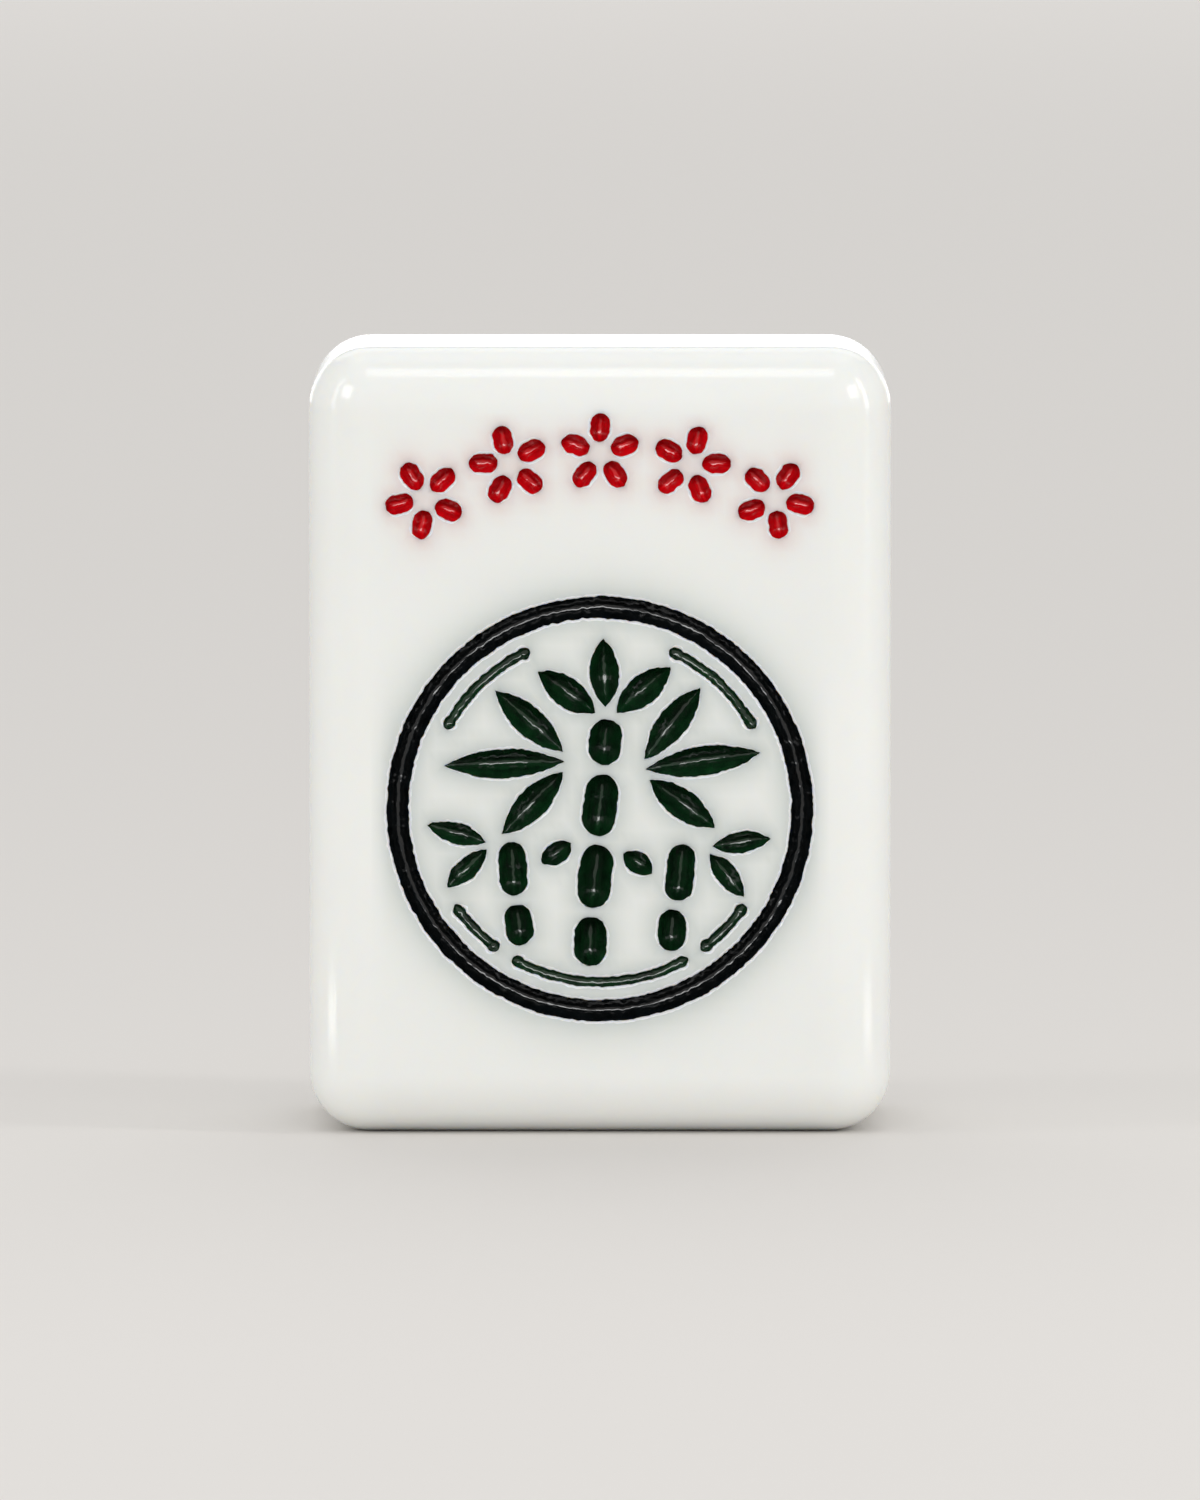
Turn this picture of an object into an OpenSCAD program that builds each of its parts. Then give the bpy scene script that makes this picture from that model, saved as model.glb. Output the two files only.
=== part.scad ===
// Mahjong tile: one moulded block whose face is carved in V grooves, each groove lined with enamel.
// The tile stands on its short end, with +Z up and the carved face looking along -Y.
// The origin is at the middle of the end that the tile stands on.

/* [Tile] */
// Width of the tile
tile_w = 22.2; // [19:0.1:30]
// Thickness of the tile, from the carved face to the back
tile_d = 13; // [8:0.1:24]
// Height of the tile
tile_h = 30; // [25:0.1:42]
// Radius of the rounded edges and corners
edge_r = 2.3; // [1:0.1:3.2]

/* [Carving] */
// Slope of the walls of each V groove, from the face, in degrees
groove_slope = 60; // [40:1:68]
// Width of the flat floor at the bottom of each V groove
groove_floor = 0.12; // [0.06:0.01:0.2]
// Thickness of the enamel, measured straight down into the groove
enamel_t = 0.1; // [0.05:0.01:0.14]
// Wall left standing between neighbouring petals and between neighbouring leaves
groove_wall = 0.18; // [0.1:0.01:0.3]

/* [Ring] */
// Width of the ring's groove at the face
ring_w = 0.9; // [0.6:0.05:1.3]
// Flat margin between the ring and the rounded edges beside it, and the least one under the blossoms
ring_margin = 0.65; // [0.2:0.05:2]
// Flat margin between the ring and the rounded edge below it
ring_base = 2.05; // [0.5:0.05:3]

/* [Blossoms] */
// Number of blossoms on the arc above the ring
blossom_count = 5; // [1:1:5]
// Number of petals in a blossom
petal_count = 5; // [4:1:6]
// Length of a petal
petal_l = 1.1; // [1:0.05:1.4]
// Width of a petal
petal_w = 0.8; // [0.5:0.05:0.95]
// Clear gap between neighbouring blossoms
blossom_gap = 0.4; // [0.2:0.05:0.6]
// Flat margin between the top blossom and the rounded edge above it
blossom_margin = 0.1; // [0:0.05:1]

/* [Bamboo] */
// Radius of the ring's field at which the strokes have the widths and gaps below: they grow with it
drawn_r = 7.25; // [6.9:0.05:9]
// Width of the thin lines that follow the ring
line_w = 0.45; // [0.3:0.05:0.6]
// How much wider the dimples are that those lines start and stop in
line_end = 0.1; // [0.04:0.02:0.2]
// Gap between those lines and the ring
line_gap = 0.42; // [0.25:0.01:0.55]
// Gap between the lines and the feet of the canes
foot_gap = 0.36; // [0.2:0.02:0.6]
// Width of the main cane
main_cane_w = 1.3; // [0.9:0.05:1.6]
// Width of the two side canes
side_cane_w = 1.1; // [0.8:0.05:1.4]
// Gap between the joints of a cane
joint_gap = 0.35; // [0.2:0.05:0.5]
// Width of the large leaves
leaf_w = 1.2; // [0.8:0.05:1.5]
// Width of the small leaves
small_leaf_w = 0.9; // [0.6:0.05:1.1]

/* [Hidden] */
$fn = 120;

// How far each cutter stands clear of the face, and how far its walls spread in that height
over = 0.3;
spread = over / tan(groove_slope);

// The flat part of the face, inside the rounded edges
flat_w = tile_w - 2 * edge_r;
flat_h = tile_h - 2 * edge_r;

// A blossom's petals start where the wall between neighbours is groove_wall
petal_start = (petal_w + groove_wall) / (2 * sin(180 / petal_count)) - petal_w / 2;
blossom_r = petal_start + petal_l;
blossom_band = 2 * blossom_r + blossom_margin;

// The ring fills the width of the flat face, or the height that the blossoms leave
ring_out_r = min(flat_w / 2 - ring_margin, (flat_h - ring_base - ring_margin - blossom_band) / 2);
ring_r = ring_out_r - ring_w / 2;
ring_z = edge_r + ring_base + ring_out_r;

// The blossoms stand on an arc round the ring's centre, the top one under the upper edge
arc_r = tile_h - edge_r - blossom_margin - blossom_r - ring_z;
arc_step = 2 * asin((2 * blossom_r + blossom_gap) / (2 * arc_r));

// The drawing's scale, the circle that its thin lines follow and the circle that its canes stand on
drawing_scale = (ring_r - ring_w / 2) / drawn_r;
line_r = drawn_r - line_gap - line_w / 2;
foot_r = line_r - line_w / 2 - foot_gap;

// The unit of the lists below: what stands inside the thin lines follows the circle that they leave
unit = foot_r / 100;

// Thin lines: name, start and end as angles from +X
lines = [
    ["breeze_right", 30, 64],
    ["breeze_left", 116, 150],
    ["bank_left", 216, 232],
    ["ground", 242, 298],
    ["bank_right", 308, 324]
];

// Canes: name, angle of the foot, lean to the right, width, pitches of the joints in units, foot first
canes = [
    ["main_cane", 266, 4, main_cane_w, [37, 46, 45, 35]],
    ["left_cane", 240, -6, side_cane_w, [32, 40]],
    ["right_cane", 296, 8, side_cane_w, [32, 42]]
];

// Fans of leaves: name, its cane, drop of the root below the cane's tip in units, gap beside the cane
// in units (left is negative, 0 is on the cane's own line), direction of the middle, angle between
// leaves, width, reach of each leaf's tip from the root in units
fans = [
    ["top_leaf", 0, 1, 0, 92, 52, leaf_w, [53, 52, 53]],
    ["left_leaf", 0, 28, -8, 182, 44, leaf_w, [67, 82, 65]],
    ["right_leaf", 0, 31, 10, 8, 44, leaf_w, [62, 80, 67]],
    ["low_left_leaf", 1, 0, -2, 194, 60, small_leaf_w, [43, 40]],
    ["low_right_leaf", 2, 0, 4, -22, 60, small_leaf_w, [40, 42]],
    ["side_left_leaf", 0, 80, -6, 215, 0, small_leaf_w, [22]],
    ["side_right_leaf", 0, 84, 6, -35, 0, small_leaf_w, [22]]
];

body_colour = "#EBEAE5";
ring_colour = "#14161F";
red_colour = "#C8101E";
green_colour = "#0F4A22";

function total(list, count) = count == 0 ? 0 : list[count - 1] + total(list, count - 1);
function direction(angle) = [cos(angle), sin(angle)];

// How far in each wall of a V groove runs, and so how deep the groove is
function wall_run(w) = (w - groove_floor) / 2;
function groove_depth(w) = wall_run(w) * tan(groove_slope);

// A cane: its foot, the angle of its axis, its width and the pitches of its joints
function cane_foot(cane) = foot_r * direction(cane[1]);
function cane_angle(cane) = 90 - cane[2];
function cane_w(cane) = cane[3];
function pitches(cane) = cane[4] * unit;

// A joint is shorter than its pitch by the gap that follows it
function joint_start(cane, i) = total(pitches(cane), i);
function joint_length(cane, i) = pitches(cane)[i] - joint_gap;
function cane_length(cane) = joint_start(cane, len(pitches(cane))) - joint_gap;

// A fan: its cane, its root's drop and gap, the angle between its leaves, their width and reaches
function fan_cane(fan) = canes[fan[1]];
function fan_drop(fan) = fan[2] * unit;
function fan_gap(fan) = fan[3] * unit;
function fan_step(fan) = fan[5];
function fan_leaf_w(fan) = fan[6];
function reaches(fan) = fan[7] * unit;

// The point that a fan's leaves spread from, set beside its cane
function fan_root(fan) =
    let (cane = fan_cane(fan))
    let (axis = direction(cane_angle(cane)))
    let (along = cane_length(cane) - fan_drop(fan))
    let (side = sign(fan_gap(fan)) * cane_w(cane) / 2 + fan_gap(fan))
    cane_foot(cane) + along * axis + side * [axis[1], -axis[0]];

function leaf_angle(fan, i) = fan[4] + (i - (len(reaches(fan)) - 1) / 2) * fan_step(fan);

// A leaf is bounded by two arcs of this radius
function leaf_arc(l, w) = (l * l / 4 + w * w / 4) / w;

// A leaf runs from its tip back to the root, or in a fan to where its arcs keep half of groove_wall
// to the lines midway to its neighbours: there its length l solves l * l * bend + 2 * l = 4 * room
function leaf_length(fan, i) =
    let (reach = reaches(fan)[i])
    let (w = fan_leaf_w(fan))
    let (half_step = fan_step(fan) / 2)
    let (bend = tan(half_step / 2) / w)
    let (room = reach - (w * (1 + cos(half_step)) / 4 + groove_wall / 2) / sin(half_step))
    len(reaches(fan)) == 1 ? reach : (sqrt(1 + 4 * bend * room) - 1) / bend;

function numbered(name, count) = [for (i = [1:count]) str(name, "_", i)];

// The face: x across, y up, z out of the tile, with the ring's centre at the origin
module on_face() {
    translate([0, -tile_d / 2, ring_z])
        rotate([90, 0, 0])
            children();
}

module in_drawing() {
    scale(drawing_scale)
        children();
}

// Half of the tile's thickness profile at an edge, from the edge's centre line outwards
module edge_profile() {
    half_d = tile_d / 2 - edge_r;
    translate([0, -half_d])
        square([edge_r, 2 * half_d]);
    for (side = [-1, 1])
        translate([0, side * half_d])
            intersection() {
                circle(edge_r);
                translate([0, side > 0 ? 0 : -edge_r])
                    square(edge_r);
            }
}

// The plain moulded block: a core, then four rounded sides and corners that meet it face to face
module blank() {
    translate([0, 0, tile_h / 2])
        rotate([90, 0, 0]) {
            cube([flat_w, flat_h, tile_d], center = true);
            for (turn = [0, 180])
                rotate([0, 0, turn])
                    rounded_side(flat_w, flat_h);
            for (turn = [90, 270])
                rotate([0, 0, turn])
                    rounded_side(flat_h, flat_w);
        }
}

// One side of the block, with the corner at its end
module rounded_side(across, along) {
    translate([across / 2, along / 2, 0]) {
        rotate([90, 0, 0])
            linear_extrude(along)
                edge_profile();
        rotate_extrude(angle = 90)
            edge_profile();
    }
}

// A groove's cross-section: x across, y = 0 at the face
module groove_profile(w) {
    depth = groove_depth(w);
    top = w / 2 + spread;
    low = groove_floor / 2;
    polygon([[-low, -depth], [low, -depth], [top, over], [-top, over]]);
}

// The half of that cross-section on the +X side, to be turned about its middle
module half_profile(w) {
    depth = groove_depth(w);
    polygon([[0, -depth], [groove_floor / 2, -depth], [w / 2 + spread, over], [0, over]]);
}

// The rounded end of a groove, on the +Y side of its own centre
module groove_end(w) {
    rotate_extrude(angle = 180)
        half_profile(w);
}

// A straight groove with rounded ends, from the origin along +X
module bar_groove(l, w) {
    translate([w / 2, 0, 0]) {
        rotate([0, 0, 90])
            groove_end(w);
        rotate([90, 0, 90])
            linear_extrude(l - w)
                groove_profile(w);
        translate([l - w, 0, 0])
            rotate([0, 0, -90])
                groove_end(w);
    }
}

// A curved groove round the origin, which starts and stops in a round dimple wider than itself
module arc_groove(r, from, to, w, end_w) {
    rotate([0, 0, from])
        rotate_extrude(angle = to - from)
            translate([r, 0])
                groove_profile(w);
    for (angle = [from, to])
        translate(r * direction(angle))
            rotate_extrude()
                half_profile(end_w);
}

// A leaf-shaped groove, pointed at both ends, from the origin along +X
module leaf_groove(l, w) {
    depth = groove_depth(w);
    r = leaf_arc(l, w);
    intersection_for (side = [-1, 1])
        translate([l / 2, side * (r - w / 2), -depth])
            cylinder(r1 = r - wall_run(w), r2 = r + spread, h = depth + over);
}

module ring_groove() {
    rotate_extrude()
        translate([ring_r, 0])
            groove_profile(ring_w);
}

module blossom_groove(i) {
    angle = 90 + ((blossom_count + 1) / 2 - i) * arc_step;
    rotate([0, 0, angle])
        translate([arc_r, 0, 0])
            for (petal = [0:petal_count - 1])
                rotate([0, 0, petal * 360 / petal_count])
                    translate([petal_start, 0, 0])
                        bar_groove(petal_l, petal_w);
}

module line_groove(line) {
    in_drawing()
        arc_groove(line_r, line[1], line[2], line_w, line_w + line_end);
}

module joint_groove(cane, i) {
    in_drawing()
        translate(cane_foot(cane))
            rotate([0, 0, cane_angle(cane)])
                translate([joint_start(cane, i), 0, 0])
                    bar_groove(joint_length(cane, i), cane_w(cane));
}

module fan_groove(fan, i) {
    length = leaf_length(fan, i);
    in_drawing()
        translate(fan_root(fan))
            rotate([0, 0, leaf_angle(fan, i)])
                translate([reaches(fan)[i] - length, 0, 0])
                    leaf_groove(length, fan_leaf_w(fan));
}

// The enamel that lines a groove: as thick all over, and flush with the face at its rim
module lining() {
    difference() {
        intersection() {
            blank();
            on_face()
                children();
        }
        on_face()
            translate([0, 0, enamel_t])
                children();
    }
}

module tile_body() {
    color(body_colour)
        difference() {
            blank();
            on_face() {
                ring_groove();
                for (i = [1:blossom_count])
                    blossom_groove(i);
                for (line = lines)
                    line_groove(line);
                for (cane = canes, i = [0:len(pitches(cane)) - 1])
                    joint_groove(cane, i);
                for (fan = fans, i = [0:len(reaches(fan)) - 1])
                    fan_groove(fan, i);
            }
        }
}

module ring() {
    color(ring_colour)
        lining()
            ring_groove();
}

module blossom(i) {
    color(red_colour)
        lining()
            blossom_groove(i);
}

module thin_line(line) {
    color(green_colour)
        lining()
            line_groove(line);
}

module cane_joint(cane, i) {
    color(green_colour)
        lining()
            joint_groove(cane, i);
}

module leaf(fan, i) {
    color(green_colour)
        lining()
            fan_groove(fan, i);
}

tile_body();
ring();
for (i = [1:blossom_count])
    blossom(i);
for (line = lines)
    thin_line(line);
for (cane = canes, i = [0:len(pitches(cane)) - 1])
    cane_joint(cane, i);
for (fan = fans, i = [0:len(reaches(fan)) - 1])
    leaf(fan, i);
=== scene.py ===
# %% [markdown]
# # A carved mahjong tile
# A mahjong tile is one block of white melamine. A cutter carves its face in V grooves, and each groove is
# then lined with glossy enamel. This lesson gives the finished tile to the plain solids that an engineer
# drew: the solids say where every stroke lies and how wide it is, and each cell below adds one part of
# what the eye sees.
#
# The first cell loads those solids. They are in metres and stay where they are, so everything that is
# modelled later is measured from them, and nothing has to be fitted by eye.

# %% Load the solids and measure the block
import math

import bpy
import numpy as np
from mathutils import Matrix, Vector, kdtree, noise


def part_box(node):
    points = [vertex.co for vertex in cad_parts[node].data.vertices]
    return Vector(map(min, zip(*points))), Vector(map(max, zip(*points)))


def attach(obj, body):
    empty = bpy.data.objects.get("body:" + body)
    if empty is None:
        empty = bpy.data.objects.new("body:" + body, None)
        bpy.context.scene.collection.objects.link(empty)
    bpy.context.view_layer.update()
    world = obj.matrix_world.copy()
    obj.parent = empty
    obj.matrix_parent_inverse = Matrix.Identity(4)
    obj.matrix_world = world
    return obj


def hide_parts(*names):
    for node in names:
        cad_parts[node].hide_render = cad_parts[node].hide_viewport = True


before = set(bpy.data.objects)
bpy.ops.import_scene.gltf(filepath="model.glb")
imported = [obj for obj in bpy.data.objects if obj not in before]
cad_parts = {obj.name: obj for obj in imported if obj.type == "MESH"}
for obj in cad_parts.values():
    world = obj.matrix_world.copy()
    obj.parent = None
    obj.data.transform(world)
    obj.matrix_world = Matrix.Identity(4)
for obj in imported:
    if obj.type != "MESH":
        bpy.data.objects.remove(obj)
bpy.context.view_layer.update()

MM = 0.001
TOUCH = 0.001 * MM

low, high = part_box("tile_body")
tile_w, tile_d, tile_h = high - low
tile_middle = (low + high) / 2
face_y = low.y

body_points = np.array([vertex.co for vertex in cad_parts["tile_body"].data.vertices])
flat_face = body_points[abs(body_points[:, 1] - face_y) < TOUCH]
edge_r = high.x - flat_face[:, 0].max()
print(f"block {tile_w / MM:.1f} x {tile_d / MM:.1f} x {tile_h / MM:.1f} mm, edge radius {edge_r / MM:.2f} mm")

# %% [markdown]
# ## Camera
# A product photographer shoots something this small with a long lens from well back, which keeps its sides
# parallel. The camera looks down by a few degrees, so that a thin strip of the top shows. It could be
# aimed with a constraint. Here its place is worked out from the distance and the angle, so that nothing
# has to be solved later.

# %% Camera
view_distance = 600 * MM
view_elevation = math.radians(4.7)
view_aim = tile_middle - Vector((0, 0, 0.77 * MM))
lens = 374.5

view_direction = Vector((0, -math.cos(view_elevation), math.sin(view_elevation)))
bpy.ops.object.camera_add(
    location=view_aim + view_distance * view_direction,
    rotation=(math.pi / 2 - view_elevation, 0, 0),
)
camera = bpy.context.object
camera.name = "camera"
camera.data.lens = lens
bpy.context.scene.camera = camera
print("camera at", [round(c / MM, 1) for c in camera.location], "mm")

# %% [markdown]
# ## Nodes and colours
# Every finish below is a small tree of shader nodes. One function adds a node: its settings are named, and
# each input takes either a number or the output of another node. Colours are picked as sRGB hex values,
# as in any paint program, and the shader needs them linear, so one function turns them.

# %% Helpers for materials
def linear(code):
    """An sRGB hex colour as linear red, green, blue and alpha."""
    parts = [int(code[i:i + 2], 16) / 255 for i in (1, 3, 5)]
    return [c / 12.92 if c <= 0.04045 else ((c + 0.055) / 1.055) ** 2.4 for c in parts] + [1]


def add_node(tree, kind, inputs, **settings):
    """Adds a node to a tree. An input takes a value, or the socket that feeds it."""
    node = tree.nodes.new(kind)
    for name, value in settings.items():
        setattr(node, name, value)
    for name, value in inputs.items():
        if isinstance(value, bpy.types.NodeSocket):
            tree.links.new(value, node.inputs[name])
        else:
            node.inputs[name].default_value = value
    return node


def new_material(name):
    """An empty material, with its tree, its shader and its place in the object's own frame."""
    material = bpy.data.materials.new(name)
    material.use_nodes = True
    tree = material.node_tree
    place = add_node(tree, "ShaderNodeTexCoord", {}).outputs["Object"]
    return material, tree, tree.nodes["Principled BSDF"], place


def set_inputs(shader, tree, inputs):
    """Sets a shader's sockets to plain values or feeds them from other nodes."""
    for name, value in inputs.items():
        if isinstance(value, bpy.types.NodeSocket):
            tree.links.new(value, shader.inputs[name])
        else:
            shader.inputs[name].default_value = value

# %% [markdown]
# ## The paper
# The tile stands on a wide sheet of pale paper that reaches back past the top of the picture, so no
# horizon shows. A plane is enough for it. Its far side is left open: the tile's polished top mirrors what
# lies behind it, and there it has to find a bright room and not a wall.

# %% Paper
paper_size = 3.6

bpy.ops.object.select_all(action="DESELECT")
bpy.ops.mesh.primitive_plane_add(size=paper_size)
paper = bpy.context.object
paper.name = "paper"

paper_grain = 0.12 * MM
material, tree, shader, place = new_material("uncoated_paper")
grain = add_node(tree, "ShaderNodeTexNoise", {"Vector": place, "Scale": 1 / paper_grain, "Detail": 3})
bump = add_node(tree, "ShaderNodeBump", {
    "Height": grain.outputs["Fac"], "Strength": 0.05, "Distance": 0.01 * MM,
})
set_inputs(shader, tree, {
    "Base Color": linear("#E4E0DC"),
    "Roughness": 0.9,
    "Specular IOR Level": 0.2,
    "Normal": bump.outputs["Normal"],
})
paper.data.materials.append(material)
print("paper:", paper_size, "m square")

# %% [markdown]
# ## Studio light
# A polished white block shows its form by what it mirrors, so a pale room lights everything softly and each
# lamp is placed for one reflection or one even patch. Area lights could be aimed by hand. Here each one
# sits on a sphere round its aim and faces it, and the camera doesn't see it.

# %% Room and lamp helper
room = bpy.data.worlds.new("studio_room")
room.use_nodes = True
room_light = room.node_tree.nodes["Background"].inputs
room_light["Color"].default_value = linear("#FDFEFE")
room_light["Strength"].default_value = 0.69
bpy.context.scene.world = room
bpy.context.scene.view_settings.view_transform = "Standard"


def softbox(name, azimuth, elevation, distance, size, power, aim=tile_middle):
    """An area light that faces its aim. Azimuth 0 is the camera's side, and 90 is the tile's right."""
    turn, rise = math.radians(azimuth), math.radians(elevation)
    away = Vector((math.sin(turn) * math.cos(rise), -math.cos(turn) * math.cos(rise), math.sin(rise)))
    bpy.ops.object.light_add(type="AREA", location=aim + distance * away)
    lamp = bpy.context.object
    lamp.name = name
    lamp.rotation_euler = away.to_track_quat("Z", "Y").to_euler()
    lamp.data.shape = "RECTANGLE"
    lamp.data.size, lamp.data.size_y = size
    lamp.data.energy = power
    lamp.visible_camera = False
    return lamp


print("room strength:", round(room_light["Strength"].default_value, 2))

# %% [markdown]
# The lamps behind the tile whiten its top and the paper at the back. The strip overhead draws the thin line
# along the upper edge, and the tall boxes at the sides brighten the upright edges.

# %% Lamps for the whole set
softbox("back_top", 180, 60, 0.8, (0.6, 0.6), 0.55)
softbox("back_card", 180, 5, 2.0, (0.8, 0.3), 0.8)
softbox("far_wash", 180, 80, 0.9, (1.4, 0.8), 2.3, aim=Vector((0, 1.3, 0)))
softbox("top_strip", 0, 72, 0.6, (0.1, 0.2), 0.13)
softbox("left_box", -72, 24, 0.33, (0.04, 0.3), 0.09)
softbox("right_box", 72, 24, 0.33, (0.04, 0.3), 0.16)

# %% [markdown]
# In a studio, flags keep a lamp off everything but its subject. Light linking does the same: such a lamp
# lights only the objects of one collection. The white block has its fill, which casts no image of itself, a
# lamp for each upper corner that gives nothing but an image, a rim at each side, and a small card for each
# lower corner. The paper in front has a wash of its own. The
# enamel has a bar above the camera, which draws the bright line in every valley. The bar counts for its
# first bounce alone, so that no second image of it greys the upper walls.

# %% Lamps for one kind of piece
def receivers(name, *lamps):
    """A collection of the only objects that these lamps light."""
    lit = bpy.data.collections.new(name)
    for lamp in lamps:
        lamp.light_linking.receiver_collection = lit
    return lit


front_fill = softbox("front_fill", 0, 8, 0.9, (1.0, 0.5), 2.95)
front_fill.visible_glossy = False
left_corner = softbox("left_corner", -48, 30, 0.5, (0.16, 0.2), 0.4)
right_corner = softbox("right_corner", 48, 30, 0.5, (0.16, 0.2), 0.4)
left_corner.visible_diffuse = False
right_corner.visible_diffuse = False
white_pieces = receivers(
    "white_pieces",
    front_fill,
    softbox("left_rim", -155, 5, 1.5, (0.6, 0.6), 1.2),
    softbox("right_rim", 155, 5, 1.5, (0.6, 0.6), 1.2),
    left_corner,
    right_corner,
    softbox("left_card", -72, -17, 0.047, (0.012, 0.0025), 0.0003),
    softbox("right_card", 72, -17, 0.047, (0.012, 0.0025), 0.00022),
)

paper_wash = softbox("paper_wash", 0, 90, 0.1, (0.4, 0.18), 0.035, aim=Vector((0, -0.12, 0)))
receivers("paper_pieces", paper_wash).objects.link(paper)

enamel_bar = softbox("enamel_bar", 0, 25, 0.5, (0.6, 0.17), 3.0)
enamel_bar.data.cycles.max_bounces = 0
enamel_pieces = receivers("enamel_pieces", enamel_bar)

# %% [markdown]
# ## Where the strokes lie
# Every coloured stroke of the solids is flush with the face at its rim, so its outline is the set of its
# vertices on the face. A blossom is five petals in one solid's place, so a copy is merged and split into
# its loose parts first. The outline of a straight stroke is longest along its own axis: that gives its
# direction, and then its length and width.

# %% Measure the strokes
def rims(node):
    """The outline of each separate part of a CAD node, as points across and up the face."""
    bpy.ops.object.select_all(action="DESELECT")
    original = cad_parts[node]
    copy = bpy.data.objects.new("rim_copy", original.data.copy())
    bpy.context.collection.objects.link(copy)
    bpy.context.view_layer.objects.active = copy
    copy.select_set(True)
    bpy.ops.object.mode_set(mode="EDIT")
    bpy.ops.mesh.select_all(action="SELECT")
    bpy.ops.mesh.remove_doubles(threshold=TOUCH)
    bpy.ops.mesh.separate(type="LOOSE")
    bpy.ops.object.mode_set(mode="OBJECT")
    outlines = []
    for part in list(bpy.context.selected_objects):
        points = np.array([vertex.co for vertex in part.data.vertices])
        outlines.append(points[abs(points[:, 1] - face_y) < TOUCH][:, [0, 2]])
        bpy.data.objects.remove(part)
    return outlines


turn_step = 0.1


def straight_stroke(outline):
    """Middle, direction, length and width of a stroke that is longest along its own axis."""
    turns = np.radians(np.arange(0, 180, turn_step))
    spread = np.ptp(outline @ np.array([np.cos(turns), np.sin(turns)]), axis=0)
    turn = turns[spread.argmax()]
    axes = np.array([[math.cos(turn), math.sin(turn)], [-math.sin(turn), math.cos(turn)]])
    local = outline @ axes.T
    middle = (local.min(axis=0) + local.max(axis=0)) / 2 @ axes
    length, width = np.ptp(local, axis=0)
    return {"middle": middle, "axis": axes[0], "length": length, "width": width}


ring_low, ring_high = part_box("ring")
ring_middle = np.array([(ring_low.x + ring_high.x) / 2, (ring_low.z + ring_high.z) / 2])


def round_stroke(outline):
    """Radius, first and last angle, width and end width of a stroke round the ring's middle."""
    away = outline - ring_middle
    radii = np.hypot(*away.T)
    turn_middle = math.atan2(*away.mean(axis=0)[::-1])
    turns = np.arctan2(*away.T[::-1]) - turn_middle
    turns = (turns + math.pi) % (2 * math.pi) - math.pi
    radius = (radii.max() + radii.min()) / 2
    inner = radii[abs(turns) < turns.max() / 2]
    width = np.ptp(inner)
    return {"radius": radius, "first": turn_middle + turns.min(), "last": turn_middle + turns.max(),
            "width": width, "end_width": np.ptp(radii)}


enamel_nodes = [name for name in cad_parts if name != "tile_body"]
outlines = {name: rims(name) for name in enamel_nodes}
print(len(enamel_nodes), "enamel nodes,", sum(map(len, outlines.values())), "strokes")

# %% [markdown]
# ## The path of a stroke
# A stroke is a curve along its middle line, and the thickness at each point of the curve says how wide the
# cut is there. A cane's joint keeps its width and ends round, a leaf follows two arcs to its points, and a
# thin line starts and stops in a small dimple. A hand guided the cutter, so the path strays a little and
# the width swells and shrinks: slow smooth noise, read at the place of each point, gives both, and it is
# the same for the cut and for its enamel.

# %% Paths of the strokes
path_step = 0.05 * MM
end_points = 9
slow_wave, slow_depth = 0.6 * MM, 0.03 * MM
stray_layers, swell_layer = (0, 5), 9


def tremble(points, layer, wave, depth):
    """How far a hand strays at each point of the face, from smooth noise of that wave and depth."""
    return depth * np.array([noise.noise(Vector((x / wave, z / wave, layer))) for x, z in points])


def spaced(length, reach):
    """Distances along a stroke, closer together where its ends turn round."""
    bend = reach * (1 - np.cos(np.linspace(0, math.pi / 2, end_points)))
    count = max(2, round((length - 2 * reach) / path_step))
    run = np.linspace(reach, length - reach, count + 1)[1:-1]
    return np.concatenate([bend, run, length - bend[::-1]])


def round_end(distance, reach):
    """Half width of a round end, as a share of its reach, at a distance from its tip."""
    return np.sqrt(np.clip(1 - (1 - np.clip(distance / reach, 0, 1)) ** 2, 0, 1))


def straight_points(stroke, along):
    """Points of the face at those distances along a straight stroke."""
    return stroke["middle"] + np.outer(along - stroke["length"] / 2, stroke["axis"])


def bar_path(outline):
    """A straight stroke of even width with round ends."""
    stroke = straight_stroke(outline)
    half = stroke["width"] / 2
    along = spaced(stroke["length"], half)
    share = round_end(np.minimum(along, stroke["length"] - along), half)
    return straight_points(stroke, along), share, half


def leaf_path(outline):
    """A straight stroke between two arcs that meet in points."""
    stroke = straight_stroke(outline)
    half, length = stroke["width"] / 2, stroke["length"]
    along = spaced(length, half)
    arc = (length ** 2 / 4 + half ** 2) / (2 * half)
    share = (np.sqrt(arc ** 2 - (along - length / 2) ** 2) - (arc - half)) / half
    return straight_points(stroke, along), np.clip(share, 0, 1), half


def ring_points(radius, turns):
    """Points of the face at those angles round the ring's middle."""
    return ring_middle + radius * np.column_stack([np.cos(turns), np.sin(turns)])


def line_path(outline):
    """A thin line round the ring's middle, with a dimple at each end."""
    stroke = round_stroke(outline)
    half, dimple = stroke["width"] / 2, stroke["end_width"] / 2
    along = spaced((stroke["last"] - stroke["first"]) * stroke["radius"], dimple)
    from_end = np.minimum(along, along[-1] - along)
    ball = dimple * np.sqrt(np.clip(1 - (from_end / dimple - 1) ** 2, 0, 1))
    share = np.where(from_end < dimple, ball, np.maximum(ball, half)) / half
    return ring_points(stroke["radius"], stroke["first"] + along / stroke["radius"]), share, half


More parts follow.
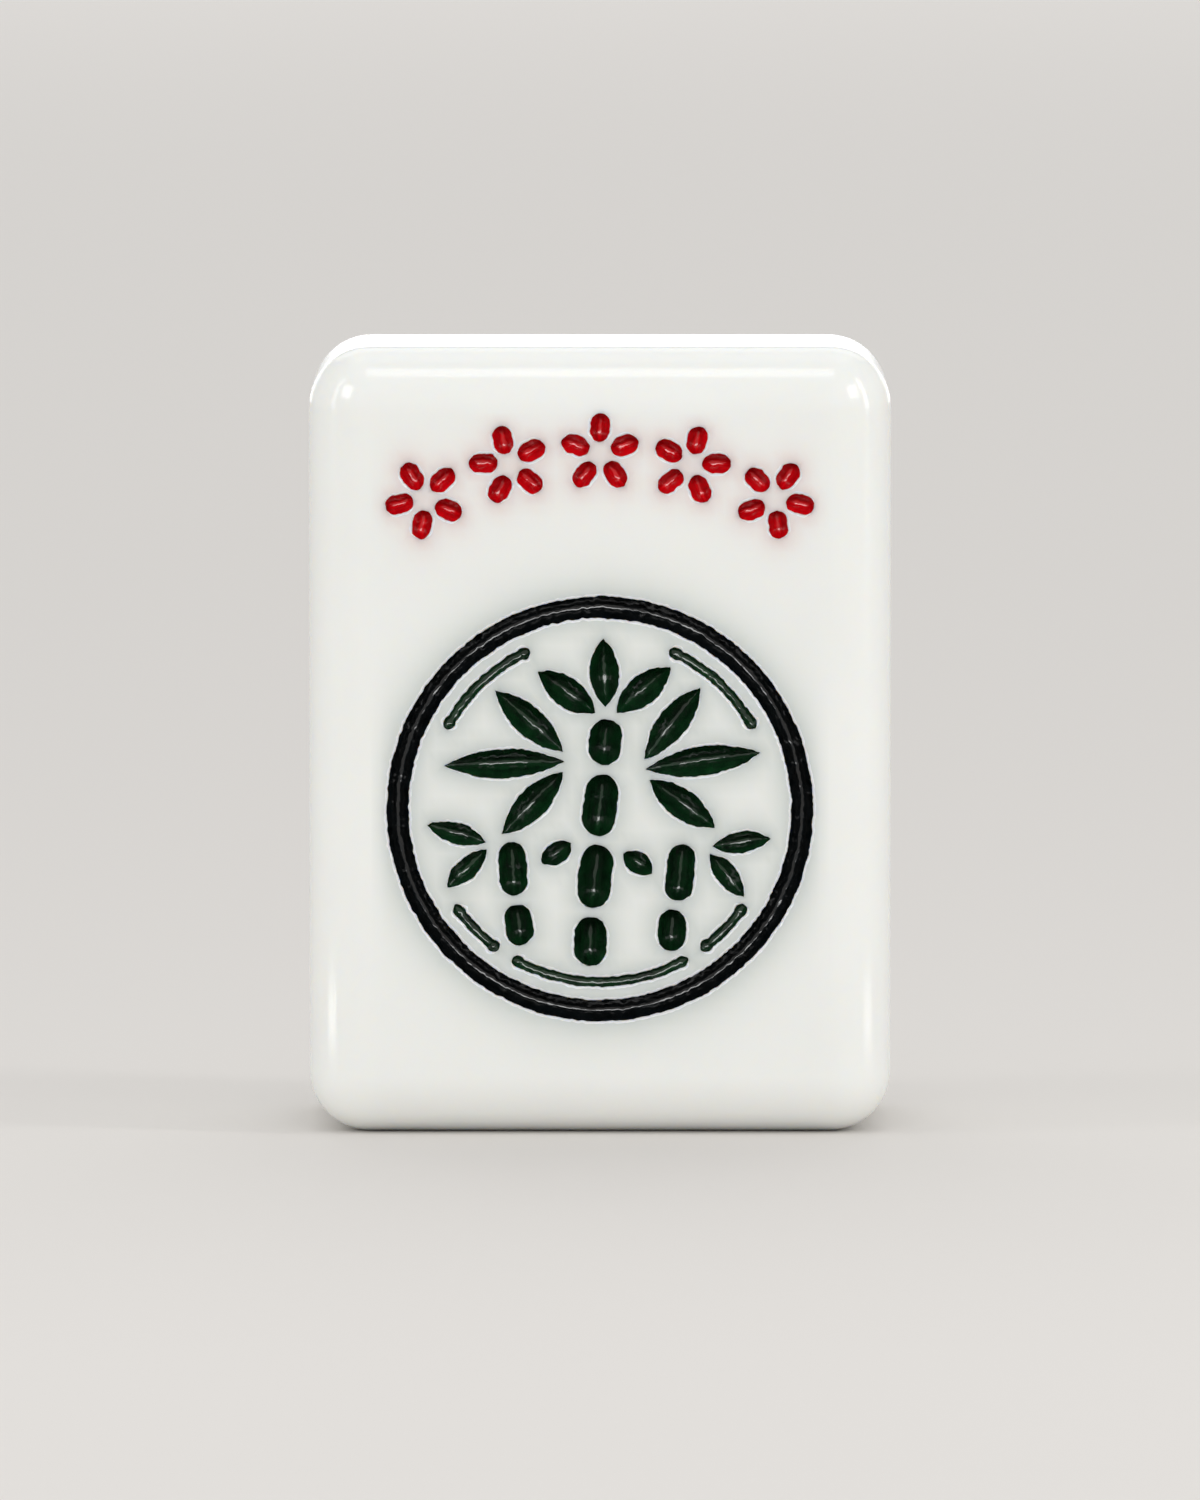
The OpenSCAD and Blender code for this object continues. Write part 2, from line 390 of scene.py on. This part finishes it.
def ring_path(outline):
    """The whole ring, which starts anywhere and ends nowhere."""
    radii = np.hypot(*(outline - ring_middle).T)
    radius, half = (radii.max() + radii.min()) / 2, np.ptp(radii) / 2
    count = 4 * round(2 * math.pi * radius / path_step / 4)
    turns = np.arange(count) * 2 * math.pi / count
    return ring_points(radius, turns), np.ones(count), half


path_kinds = {"ring": ring_path, "blossom": bar_path, "cane": bar_path, "leaf": leaf_path}


def node_paths(name):
    """Every stroke of a node: its points on the face, its share of the full width there, its half width."""
    kind = next((k for k in path_kinds if k in name), None)
    found = []
    for outline in outlines[name]:
        points, share, half = path_kinds.get(kind, line_path)(outline)
        stray = [tremble(points, layer, slow_wave, slow_depth) for layer in stray_layers]
        swell = tremble(points, swell_layer, slow_wave, slow_depth)
        found.append((points + np.transpose(stray), share * (1 + swell / half), half))
    return found


paths = {name: node_paths(name) for name in enamel_nodes}
print("path points:", sum(len(points) for found in paths.values() for points, _, _ in found))

# %% [markdown]
# ## Profiles
# A V cutter leaves steep walls with a narrow round valley, and polishing afterwards rounds the lip where a
# wall meets the face. The cut's profile has both. The enamel is a film in that V: thin at its rim just
# under the lip, thicker in the valley, where it ran together. Both profiles are closed outlines with straight
# walls and an arc at the bottom.

# %% Profiles of the cut and of its enamel
cut_wall, cut_valley = math.radians(63), 0.045 * MM
film_wall, film_valley = math.radians(60), 0.15 * MM
lip_radius = 0.14 * MM
film_gap = 0.003 * MM
cut_top = 0.25 * MM
wall_points, lip_points, film_points = 6, 7, 12
wall_crowding, film_crowding = 1.5, 3.2
under_step = 3


def v_shape(x, half, wall, valley):
    """Height of a V with straight walls and a round valley, and 0 at half its width."""
    def height(run):
        bend = np.minimum(run, valley * math.sin(wall))
        return valley - np.sqrt(valley ** 2 - bend ** 2) + (run - bend) * math.tan(wall)

    return height(x) - height(half)


def mirrored(x, y):
    """A closed outline from its right half, which starts on the middle line."""
    return np.column_stack([np.concatenate([x, -x[:0:-1]]), np.concatenate([y, y[:0:-1]])])


lip_run = lip_radius * math.tan(cut_wall / 2)


def cut_profile(half):
    """Valley, wall, rounded lip, and a block above the face that the cutter enters through."""
    wall_x = np.linspace(0, 1, wall_points) ** wall_crowding * (half - lip_run * math.cos(cut_wall))
    wall_y = v_shape(wall_x, half, cut_wall, cut_valley)
    turns = np.linspace(cut_wall, 0, lip_points)[1:]
    lip_x = half + lip_run - lip_radius * np.sin(turns)
    lip_y = -lip_radius * (1 - np.cos(turns))
    x = np.concatenate([wall_x, lip_x, [half + lip_run]])
    y = np.concatenate([wall_y, lip_y, [cut_top]])
    return mirrored(x, y)


def film_profile(half):
    """The enamel's open surface from valley to rim, then its underside back along the wall."""
    rim = half - lip_run * math.cos(cut_wall)
    top_x = rim * np.sinh(np.linspace(0, film_crowding, film_points)) / math.sinh(film_crowding)
    rim_y = v_shape(rim, half, cut_wall, cut_valley) + film_gap
    top_y = rim_y + v_shape(top_x, rim, film_wall, film_valley)
    under_x = top_x[-2::-under_step]
    under_y = v_shape(under_x, half, cut_wall, cut_valley) + film_gap
    right_x, right_y = np.concatenate([top_x, under_x]), np.concatenate([top_y, under_y])
    inner = slice(1, len(right_x) if under_x[-1] > 0 else len(right_x) - 1)
    x = np.concatenate([right_x, -right_x[inner][::-1]])
    y = np.concatenate([right_y, right_y[inner][::-1]])
    return np.column_stack([x, y])


print("profile points:", len(cut_profile(0.5 * MM)), "cut,", len(film_profile(0.5 * MM)), "film")

# %% [markdown]
# ## Sweeping a profile along a path
# By hand, one adds a curve, subdivides it, places its points and sets their radius, gives it a second curve
# as its bevel object, and converts the result to a mesh. These functions do just that. Where the radius
# falls to nothing, the profile closes to one point, and merging the doubles seals the end.
#
# Two touches follow. Each vertex keeps its distance from the middle line, which becomes tool marks in the
# enamel later. Then a quick noise shakes every vertex along the face: that roughens the edges, and the
# depth stays even.

# %% Helpers for swept strokes
def add_curve(count, closed):
    """A flat poly curve of that many points, made from a curve primitive."""
    bpy.ops.object.select_all(action="DESELECT")
    if closed:
        bpy.ops.curve.primitive_bezier_circle_add()
        cuts = count // 4 - 1
    else:
        bpy.ops.curve.primitive_bezier_curve_add()
        cuts = count - 2
    bpy.ops.object.mode_set(mode="EDIT")
    bpy.ops.curve.select_all(action="SELECT")
    bpy.ops.curve.subdivide(number_cuts=cuts)
    bpy.ops.curve.spline_type_set(type="POLY")
    bpy.ops.object.mode_set(mode="OBJECT")
    curve = bpy.context.object
    curve.data.dimensions = "2D"
    curve.data.fill_mode = "NONE"
    return curve


def place_points(curve, points, shares):
    """Moves a curve's points into place and sets the radius at each."""
    spline_points = curve.data.splines[0].points
    flat = np.column_stack([points, np.zeros(len(points)), np.ones(len(points))])
    spline_points.foreach_set("co", flat.ravel())
    spline_points.foreach_set("radius", shares)


def add_profile(outline):
    """A closed curve for a bevel object. Its point count is a multiple of four."""
    missing = -len(outline) % 4
    steps = np.linspace(0, 1, missing + 2)[1:-1, None]
    outline = np.concatenate([outline, outline[-1] + steps * (outline[0] - outline[-1])])
    profile = add_curve(len(outline), True)
    place_points(profile, outline, np.ones(len(outline)))
    return profile


mark_width = 0.06 * MM
quick_wave, quick_depth = 0.19 * MM, 0.04 * MM
shake_layers = (2, 7)


def store_across(stroke, points):
    """Keeps how far each vertex lies from its stroke's middle line, counted in tool marks."""
    tree = kdtree.KDTree(len(points))
    for index, point in enumerate(points):
        tree.insert((*point, 0), index)
    tree.balance()
    away = [tree.find((vertex.co.x, vertex.co.y, 0))[2] / mark_width for vertex in stroke.data.vertices]
    stroke.data.attributes.new("across", "FLOAT", "POINT").data.foreach_set("value", away)


def shake_edges(stroke):
    """Moves every vertex a little along the face, so that the edges are as rough as cut ones."""
    spots = np.array([vertex.co for vertex in stroke.data.vertices])
    flat = spots[:, :2].copy()
    for axis, layer in enumerate(shake_layers):
        spots[:, axis] += tremble(flat, layer, quick_wave, quick_depth)
    stroke.data.vertices.foreach_set("co", spots.ravel())


def swept(points, shares, outline, lift):
    """A mesh with that profile along those points of the face, lifted off the face by a little."""
    profile = add_profile(outline)
    # Only the ring's path has its full width at its first point.
    closed = shares[0] > 0.5
    curve = add_curve(len(points), closed)
    place_points(curve, points, shares)
    curve.data.bevel_mode = "OBJECT"
    curve.data.bevel_object = profile
    bpy.ops.object.convert(target="MESH")
    bpy.data.objects.remove(profile)
    stroke = bpy.context.object
    bpy.ops.object.mode_set(mode="EDIT")
    bpy.ops.mesh.select_all(action="SELECT")
    bpy.ops.mesh.remove_doubles(threshold=0.1 * TOUCH)
    bpy.ops.mesh.normals_make_consistent(inside=False)
    bpy.ops.object.mode_set(mode="OBJECT")
    store_across(stroke, points)
    shake_edges(stroke)
    stroke.rotation_euler.x = math.pi / 2
    stroke.location.y = face_y - lift
    bpy.ops.object.transform_apply(location=True, rotation=True, scale=True)
    return stroke


def joined(pieces, name):
    """Several meshes as one object."""
    bpy.ops.object.select_all(action="DESELECT")
    for piece in pieces:
        piece.select_set(True)
    bpy.context.view_layer.objects.active = pieces[0]
    if len(pieces) > 1:
        bpy.ops.object.join()
    pieces[0].name = name
    return pieces[0]


cut_lift = 0.003 * MM
cutter = joined(
    [swept(points, shares, cut_profile(half), cut_lift)
     for found in paths.values() for points, shares, half in found],
    "groove_cutter",
)
print("cutter:", len(cutter.data.polygons), "faces")

# %% [markdown]
# ## The moulded block
# Melamine tiles are pressed in a mould and tumbled, which leaves one even radius on every edge. A cube with
# a bevel has that form. Its face is cut into small squares first, because a later cell puts painted pink
# bleed and painted grey shade on the vertices round the strokes. Then one Boolean takes all the grooves out
# of it.

# %% Block
edge_steps = 14
face_square = 0.45 * MM
block_crease = math.radians(40)

bpy.ops.object.select_all(action="DESELECT")
bpy.ops.mesh.primitive_cube_add(size=1, location=tile_middle)
block = bpy.context.object
block.name = "carved_block"
block.dimensions = (tile_w, tile_d, tile_h)
bpy.ops.object.transform_apply(location=True, rotation=True, scale=True)
rounding = block.modifiers.new("rounded_edges", "BEVEL")
rounding.width = edge_r
rounding.segments = edge_steps
rounding.limit_method = "NONE"
bpy.ops.object.modifier_apply(modifier=rounding.name)

bpy.ops.object.mode_set(mode="EDIT")
bpy.ops.mesh.select_mode(type="FACE")
bpy.ops.mesh.select_all(action="DESELECT")
bpy.ops.object.mode_set(mode="OBJECT")
for face in block.data.polygons:
    face.select = face.normal.y < -0.999 and abs(face.center.y - face_y) < TOUCH
bpy.ops.object.mode_set(mode="EDIT")
bpy.ops.mesh.inset(thickness=face_square / 4, depth=0)
bpy.ops.mesh.subdivide(number_cuts=round((tile_h - 2 * edge_r) / face_square))
bpy.ops.object.mode_set(mode="OBJECT")

carving = block.modifiers.new("grooves", "BOOLEAN")
carving.operation = "DIFFERENCE"
carving.solver = "MANIFOLD"
carving.object = cutter
bpy.ops.object.modifier_apply(modifier=carving.name)
bpy.data.objects.remove(cutter)

bpy.ops.object.shade_smooth_by_angle(angle=block_crease)
even = block.modifiers.new("even_normals", "WEIGHTED_NORMAL")
even.mode = "FACE_AREA"
even.keep_sharp = True
bpy.ops.object.modifier_apply(modifier=even.name)
print("block:", len(block.data.polygons), "faces")

# %% [markdown]
# ## The enamel
# Each stroke's film is swept along the same path as its cut, so it lies in the groove with its rim just
# under the lip. The petals of one blossom are one piece, as on the solids.

# %% Enamel films
film_crease = math.radians(60)
films = {}
for name, found in paths.items():
    films[name] = joined(
        [swept(points, shares, film_profile(half), 0) for points, shares, half in found],
        name + "_enamel",
    )
    bpy.ops.object.shade_smooth_by_angle(angle=film_crease)
print("films:", len(films), "pieces,", sum(len(film.data.polygons) for film in films.values()), "faces")

# %% [markdown]
# ## White melamine
# Melamine is a hard, dense resin, polished until it shines. Light goes a little way into it and comes out
# again, which softens every shadow: that is the subsurface part. Its colour is a faintly warm white.
#
# Beside the strokes the white is painted pinkish or greyish. The pink is a painted bleed of light that picks
# up the red enamel's colour, and the grey is painted shade where the dark enamel keeps light out of the
# white. The lips of the grooves get a painted highlight: their colour is the cleanest white. Three attributes
# of the block's
# vertices say where: they could be painted by hand, and here they are measured from the enamel.

# %% Painted bleed, painted shade and painted lip highlight
red_reach, dark_reach = 0.35 * MM, 0.65 * MM
border_fade = 0.8 * MM
red_nodes = [name for name in enamel_nodes if name.startswith("blossom")]


def store_value(name, values):
    """Gives each vertex of the block a number under that name."""
    block.data.attributes.new(name, "FLOAT", "POINT").data.foreach_set("value", values)


def inside_face(place):
    """How far a point lies inside the border of the face's flat part."""
    return min(tile_w / 2 - edge_r - abs(place.x), tile_h / 2 - edge_r - abs(place.z - tile_middle.z))


def in_groove(place):
    """Whether a point of the block lies under the flat part of its face."""
    return inside_face(place) > 0 and place.y - face_y > TOUCH


def bleed_and_shade_at(place, tree, reach):
    """How much painted bleed or shade a point gets: most beside the enamel, and none at the border of the
    face.
    """
    if in_groove(place):
        return 0
    fade = min(max(inside_face(place) / border_fade, 0), 1)
    return fade * math.exp(-tree.find(place)[2] / reach)


def paint_bleed_and_shade(name, nodes, reach):
    """Stores the painted bleed or shade that the enamel of some nodes gives each point of the block."""
    spots = [vertex.co for node in nodes for vertex in films[node].data.vertices]
    tree = kdtree.KDTree(len(spots))
    for index, spot in enumerate(spots):
        tree.insert(spot, index)
    tree.balance()
    store_value(name, [bleed_and_shade_at(vertex.co, tree, reach) for vertex in block.data.vertices])


lip_depth = lip_radius * (1 - math.cos(cut_wall))
# Painted light in the white's colour: pink bleed beside the red enamel, grey shade beside the dark enamel.
paint_bleed_and_shade("near_red", red_nodes, red_reach)
paint_bleed_and_shade("near_dark", [name for name in enamel_nodes if name not in red_nodes], dark_reach)
# The lips get a painted highlight: a whiter colour on the rounded edge of every groove.
store_value("lip", [
    in_groove(vertex.co) and vertex.co.y - face_y < lip_depth for vertex in block.data.vertices
])
print("attributes:", [a.name for a in block.data.attributes if a.data_type == "FLOAT"])

# %% White melamine
cloud_size, wave_size = 5 * MM, 2.2 * MM
melamine, tree, shader, place = new_material("white_melamine")
cloud = add_node(tree, "ShaderNodeTexNoise", {"Vector": place, "Scale": 1 / cloud_size, "Detail": 2})
tone = add_node(tree, "ShaderNodeMix", {
    "Factor": cloud.outputs["Fac"], "A": linear("#EDEEEB"), "B": linear("#F0F1EE"),
}, data_type="RGBA").outputs["Result"]
# Painted light in the base colour: pink bleed near red enamel, grey shade near dark enamel, and a whiter
# painted highlight on the lips.
for attribute, share, painted_light_tint in (
    ("near_red", 0.6, "#E0BEB8"),
    ("near_dark", 0.65, "#B4BDB8"),
    ("lip", 1, "#FEFEFD"),
):
    where = add_node(tree, "ShaderNodeAttribute", {}, attribute_name=attribute)
    much = add_node(tree, "ShaderNodeMath", {0: where.outputs["Fac"], 1: share}, operation="MULTIPLY")
    tone = add_node(tree, "ShaderNodeMix", {
        "Factor": much.outputs["Value"], "A": tone, "B": linear(painted_light_tint),
    }, data_type="RGBA").outputs["Result"]
wave = add_node(tree, "ShaderNodeTexNoise", {"Vector": place, "Scale": 1 / wave_size, "Detail": 1})
bump = add_node(tree, "ShaderNodeBump", {
    "Height": wave.outputs["Fac"], "Strength": 0.3, "Distance": 0.01 * MM,
})
set_inputs(shader, tree, {
    "Base Color": tone,
    "Roughness": 0.13,
    "IOR": 1.55,
    "Subsurface Weight": 1.0,
    "Subsurface Radius": (1.0, 0.9, 0.75),
    "Subsurface Scale": 0.6 * MM,
    "Normal": bump.outputs["Normal"],
})
block.data.materials.clear()
block.data.materials.append(melamine)
white_pieces.objects.link(block)
print("melamine on", block.name)

# %% [markdown]
# ## Enamels
# The colours are glossy paints that were run into the grooves and wiped off the face. Paint pools unevenly,
# so its tone varies from place to place. The cutter's marks show through it as streaks along the stroke:
# noise that is stretched along the stroke, because its third direction is the distance across. Marks and
# fine ripples also bend the reflections a little, so that the bright line in a valley breaks up.

# %% Enamels
pool_size, mark_length, ripple_size = 0.5 * MM, 1.5 * MM, 0.22 * MM


def enamel(name, thick, thin):
    """A glossy paint whose colour moves between a thick and a thin tone with noise."""
    material, tree, shader, place = new_material(name)
    pool = add_node(tree, "ShaderNodeTexNoise", {"Vector": place, "Scale": 1 / pool_size, "Detail": 3})
    rows = add_node(tree, "ShaderNodeAttribute", {}, attribute_name="across")
    drift = add_node(tree, "ShaderNodeVectorMath", {
        0: place, 1: [1 / mark_length] * 3, 2: rows.outputs["Vector"],
    }, operation="MULTIPLY_ADD")
    marks = add_node(tree, "ShaderNodeTexNoise", {"Vector": drift.outputs["Vector"], "Scale": 1, "Detail": 2})
    both = add_node(tree, "ShaderNodeMath", {
        0: pool.outputs["Fac"], 1: marks.outputs["Fac"],
    }, operation="ADD")
    spread = add_node(tree, "ShaderNodeMapRange", {
        "Value": both.outputs["Value"], "From Min": 0.7, "From Max": 1.3,
    })
    tone = add_node(tree, "ShaderNodeMix", {
        "Factor": spread.outputs["Result"], "A": linear(thick), "B": linear(thin),
    }, data_type="RGBA")
    ripple = add_node(tree, "ShaderNodeTexNoise", {"Vector": place, "Scale": 1 / ripple_size, "Detail": 2})
    waves = add_node(tree, "ShaderNodeBump", {
        "Height": ripple.outputs["Fac"], "Strength": 0.5, "Distance": 0.015 * MM,
    })
    grooves = add_node(tree, "ShaderNodeBump", {
        "Height": marks.outputs["Fac"], "Strength": 0.5, "Distance": 0.008 * MM,
        "Normal": waves.outputs["Normal"],
    })
    set_inputs(shader, tree, {
        "Base Color": tone.outputs["Result"],
        "Roughness": 0.12,
        "IOR": 1.5,
        "Normal": grooves.outputs["Normal"],
    })
    return material


red_enamel = enamel("red_enamel", "#8A0006", "#B6040C")
green_enamel = enamel("green_enamel", "#040E07", "#092912")
blue_black_enamel = enamel("blue_black_enamel", "#010202", "#05080A")

finishes = {"ring": ("blue_black_enamel", blue_black_enamel), "blossom": ("red_enamel", red_enamel)}
for name, film in films.items():
    kind = next((k for k in finishes if name.startswith(k)), None)
    slot, material = finishes.get(kind, ("green_enamel", green_enamel))
    film.data.materials.clear()
    film.data.materials.append(material)
    enamel_pieces.objects.link(film)
    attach(film, "root")
    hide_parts(name)

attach(block, "root")
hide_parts("tile_body")
print("finished pieces:", len(films) + 1)
